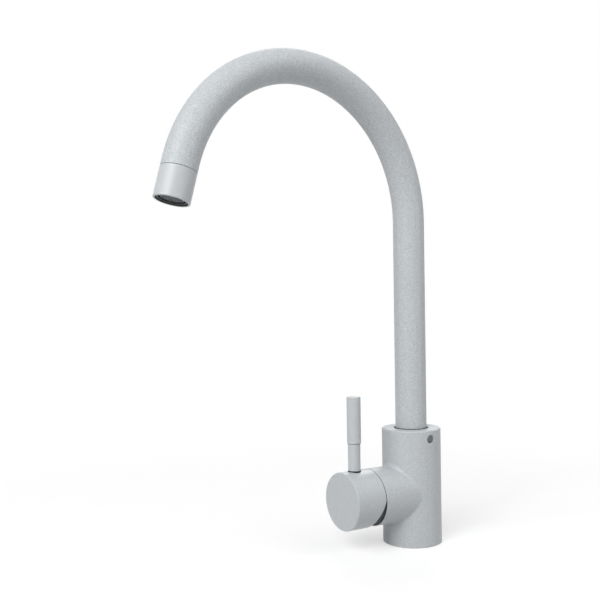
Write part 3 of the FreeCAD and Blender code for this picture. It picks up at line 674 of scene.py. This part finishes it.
# %% Floor
half_floor = 3.0
board_glow, fade_centre, fade_start, fade_end = 0.46, (0.05, 0, 0), 0.2, 0.6
mesh = bpy.data.meshes.new("floor")
corners = [(half_floor * x, half_floor * y, 0) for x, y in ((-1, -1), (1, -1), (1, 1), (-1, 1))]
mesh.from_pydata(corners, [], [(0, 1, 2, 3)])
floor = bpy.data.objects.new("floor", mesh)
bpy.context.scene.collection.objects.link(floor)


def seen_rays(tree):
    """1 for rays from the camera, from a gloss or through a glass, and 0 for the rays of diffuse light."""
    paths = add(tree, "ShaderNodeLightPath").outputs
    direct = {0: paths["Is Camera Ray"], 1: paths["Is Glossy Ray"]}
    seen = add(tree, "ShaderNodeMath", direct, operation="MAXIMUM").outputs[0]
    through = {0: seen, 1: paths["Is Transmission Ray"]}
    return add(tree, "ShaderNodeMath", through, operation="MAXIMUM").outputs[0]


board, tree, shader, place = start_finish("matt_white_board", "#D0D0D0", 0.9)
glow = add(tree, "ShaderNodeEmission", {"Strength": board_glow})
both = add(tree, "ShaderNodeAddShader", {0: shader.outputs[0], 1: glow.outputs[0]})
white = add(tree, "ShaderNodeEmission", {"Strength": 1.0})
away = distance_from(tree, place, fade_centre, (1, 1, 0))
fade = {"Value": away, "From Min": fade_start, "From Max": fade_end}
far = add(tree, "ShaderNodeMapRange", fade, interpolation_type="SMOOTHSTEP")
faded = add(tree, "ShaderNodeMixShader", {0: far.outputs[0], 1: both.outputs[0], 2: white.outputs[0]})
mix = add(tree, "ShaderNodeMixShader", {0: seen_rays(tree), 1: shader.outputs[0], 2: faded.outputs[0]})
tree.links.new(mix.outputs[0], tree.nodes["Material Output"].inputs["Surface"])
mesh.materials.append(board)
print("the floor fades to white from", fade_start, "to", fade_end, "m away")

# %% [markdown]
# ## Background
#
# The world is treated in the same way: white to the rays that see it, and a weak even light from all
# sides to the rest. The Standard view transform shows a colour as it is written.

# %% World
room_light = 0.09
world = bpy.data.worlds.new("studio")
world.use_nodes = True
bpy.context.scene.world = world
tree = world.node_tree
room = tree.nodes["Background"]
room.inputs["Color"].default_value = (1, 1, 1, 1)
room.inputs["Strength"].default_value = room_light
white = add(tree, "ShaderNodeBackground", {"Color": (1, 1, 1, 1), "Strength": 1.0})
mix = add(tree, "ShaderNodeMixShader", {0: seen_rays(tree), 1: room.outputs[0], 2: white.outputs[0]})
tree.links.new(mix.outputs[0], tree.nodes["World Output"].inputs["Surface"])
bpy.context.scene.view_settings.view_transform = "Standard"
print("room light:", room_light, "of white")

# %% [markdown]
# ## Lamps
#
# The soft bands on the pipe tell how the studio was lit: a strong light in front and a little to the left,
# a second one further left, and weaker and nearer ones to the right. Each is a square area lamp that
# looks at the tap's middle, given by its angle from the camera's side, its height angle and its distance.
# The strong ones stand far off, so that they light both ends of the spout alike. A lamp behind the tap
# hardly shows in this view, and keeps its back from going dark in the others.

# %% Lamps
left = Vector((-math.cos(yaw), -math.sin(yaw), 0))
near = Vector((math.sin(yaw), -math.cos(yaw), 0))
up = Vector((0, 0, 1))
middle = Vector((0.08, 0, 0.2))


def softbox(name, to_right, height, distance, power):
    """A square lamp, half as wide as it is far, placed by two angles in degrees and metres."""
    azimuth, elevation = math.radians(to_right), math.radians(height)
    level = near * math.cos(azimuth) - left * math.sin(azimuth)
    direction = level * math.cos(elevation) + up * math.sin(elevation)
    lamp = bpy.data.lights.new(name, "AREA")
    lamp.shape = "SQUARE"
    lamp.size = distance / 2
    lamp.energy = power
    box = bpy.data.objects.new(name, lamp)
    facing = direction.to_track_quat("Z", "Y").to_matrix().to_4x4()
    box.matrix_world = Matrix.Translation(middle + distance * direction) @ facing
    bpy.context.scene.collection.objects.link(box)


# each line: degrees to the right of the camera, degrees up, metres away, watts
softbox("front_lamp", -25, 33, 2.6, 30.8)
softbox("left_lamp", -50, 33, 2.6, 19.1)
softbox("side_lamp", 75, 33, 2.6, 4.6)
softbox("back_lamp", 175, 33, 2.6, 15.0)
softbox("near_front_lamp", -25, 33, 1.5, 2.0)
softbox("near_right_lamp", 50, 33, 1.5, 3.6)
softbox("near_right_lamp_high", 95, 58, 1.5, 3.2)
print("lamps:", len(bpy.data.lights))
